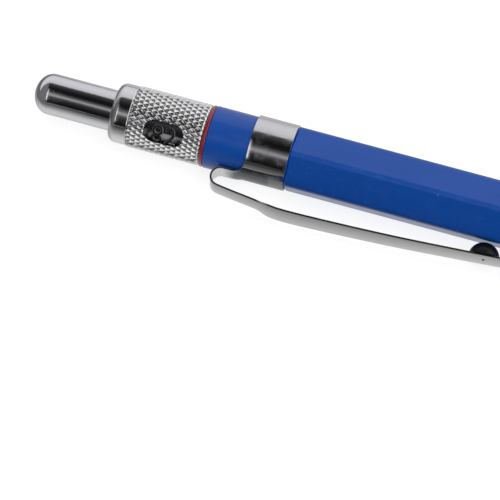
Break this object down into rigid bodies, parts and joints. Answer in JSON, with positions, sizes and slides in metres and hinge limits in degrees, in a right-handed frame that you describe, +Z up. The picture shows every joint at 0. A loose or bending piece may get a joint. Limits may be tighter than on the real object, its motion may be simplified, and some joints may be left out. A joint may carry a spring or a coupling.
{
  "type": "clutch scriber",
  "caption": "Pen-shaped scriber: a push-button clutch holds a thin hard rod in a knurled grip, with a hex barrel, pocket clip and index collar.",
  "frame": {"origin": "on the holder's axis, halfway along the grip sleeve", "axes": "+X along the axis towards the scribing point, +Z up and square to one flat of the hex barrel"},
  "size_m": [0.1474, 0.0141, 0.0096],
  "materials": {
    "blue_lacquer": "glossy lacquer with slight wear on the corners",
    "chrome_plate": "polished chrome plate",
    "knurled_chrome": "diamond-knurled chrome plate",
    "turned_aluminium": "satin, with fine turning marks",
    "hard_point": "dark ground surface",
    "inner_brass": "turned",
    "spring_steel": "drawn wire",
    "red_gloss": "gloss",
    "black_gloss": "gloss",
    "black_rubber": "soft",
    "dark_ball": "dark polished"
  },
  "bodies": {
    "root": {"barrel": "blue_lacquer", "front_insert": "inner_brass", "rear_bush": "inner_brass", "red_ring": "red_gloss", "index_drum": "black_gloss", "collar_snap_ring": "spring_steel", "grip_sleeve": "knurled_chrome", "nose_cone": "turned_aluminium", "point_retainer": "black_rubber", "clutch_seat": "inner_brass", "clip_band": "chrome_plate", "return_spring": "spring_steel"},
    "pusher": {"feed_tube": "inner_brass", "spring_collar": "inner_brass", "collet_stem": "inner_brass", "button_sleeve": "inner_brass"},
    "jaw_a": {"clutch_jaw_a": "inner_brass"},
    "jaw_b": {"clutch_jaw_b": "inner_brass"},
    "jaw_c": {"clutch_jaw_c": "inner_brass"},
    "closing_ring": {"clutch_ring": "spring_steel"},
    "point": {"scribing_point": "hard_point"},
    "button": {"push_button": "chrome_plate"},
    "collar": {"index_collar": "knurled_chrome"},
    "clip": {"clip_arm": "chrome_plate", "clip_ball": "dark_ball"}
  },
  "joints": [
    {"name": "button_push", "type": "slide", "parent": "root", "child": "pusher", "axis": [1, 0, 0], "range_m": [0, 0.0035], "stiffness_N_per_m": 600, "springref_m": -0.003, "deforming": ["return_spring"]},
    {"name": "jaw_a_open", "type": "hinge", "parent": "pusher", "child": "jaw_a", "pos_m": [0.0091, 0.00135, 0], "axis": [0, 0, 1], "range_deg": [0, 1.5]},
    {"name": "jaw_b_open", "type": "hinge", "parent": "pusher", "child": "jaw_b", "pos_m": [0.0091, -0.00068, 0.00117], "axis": [0, -0.866, -0.5], "range_deg": [0, 1.5]},
    {"name": "jaw_c_open", "type": "hinge", "parent": "pusher", "child": "jaw_c", "pos_m": [0.0091, -0.00068, -0.00117], "axis": [0, 0.866, -0.5], "range_deg": [0, 1.5]},
    {"name": "ring_shift", "type": "slide", "parent": "root", "child": "closing_ring", "axis": [1, 0, 0], "range_m": [0, 0.0014]},
    {"name": "point_slide", "type": "slide", "parent": "pusher", "child": "point", "axis": [1, 0, 0], "range_m": [-0.0056, 0.01]},
    {"name": "button_pull", "type": "slide", "parent": "pusher", "child": "button", "axis": [-1, 0, 0], "range_m": [0, 0.009]},
    {"name": "index_turn", "type": "hinge", "parent": "root", "child": "collar", "pos_m": [-0.0921, 0, 0], "axis": [1, 0, 0], "continuous": true},
    {"name": "clip_flex", "type": "hinge", "parent": "root", "child": "clip", "pos_m": [-0.08267, -0.00594, -0.00159], "axis": [0, 0.2588, -0.9659], "range_deg": [0, 6], "stiffness_Nm_per_rad": 2, "springref_deg": -1.72}
  ],
  "couplings": [
    {"joint": "jaw_a_open", "follows": "button_push", "rad_per_m": 7.45},
    {"joint": "jaw_b_open", "follows": "button_push", "rad_per_m": 7.45},
    {"joint": "jaw_c_open", "follows": "button_push", "rad_per_m": 7.45},
    {"joint": "ring_shift", "follows": "button_push", "ratio": 0.4}
  ]
}
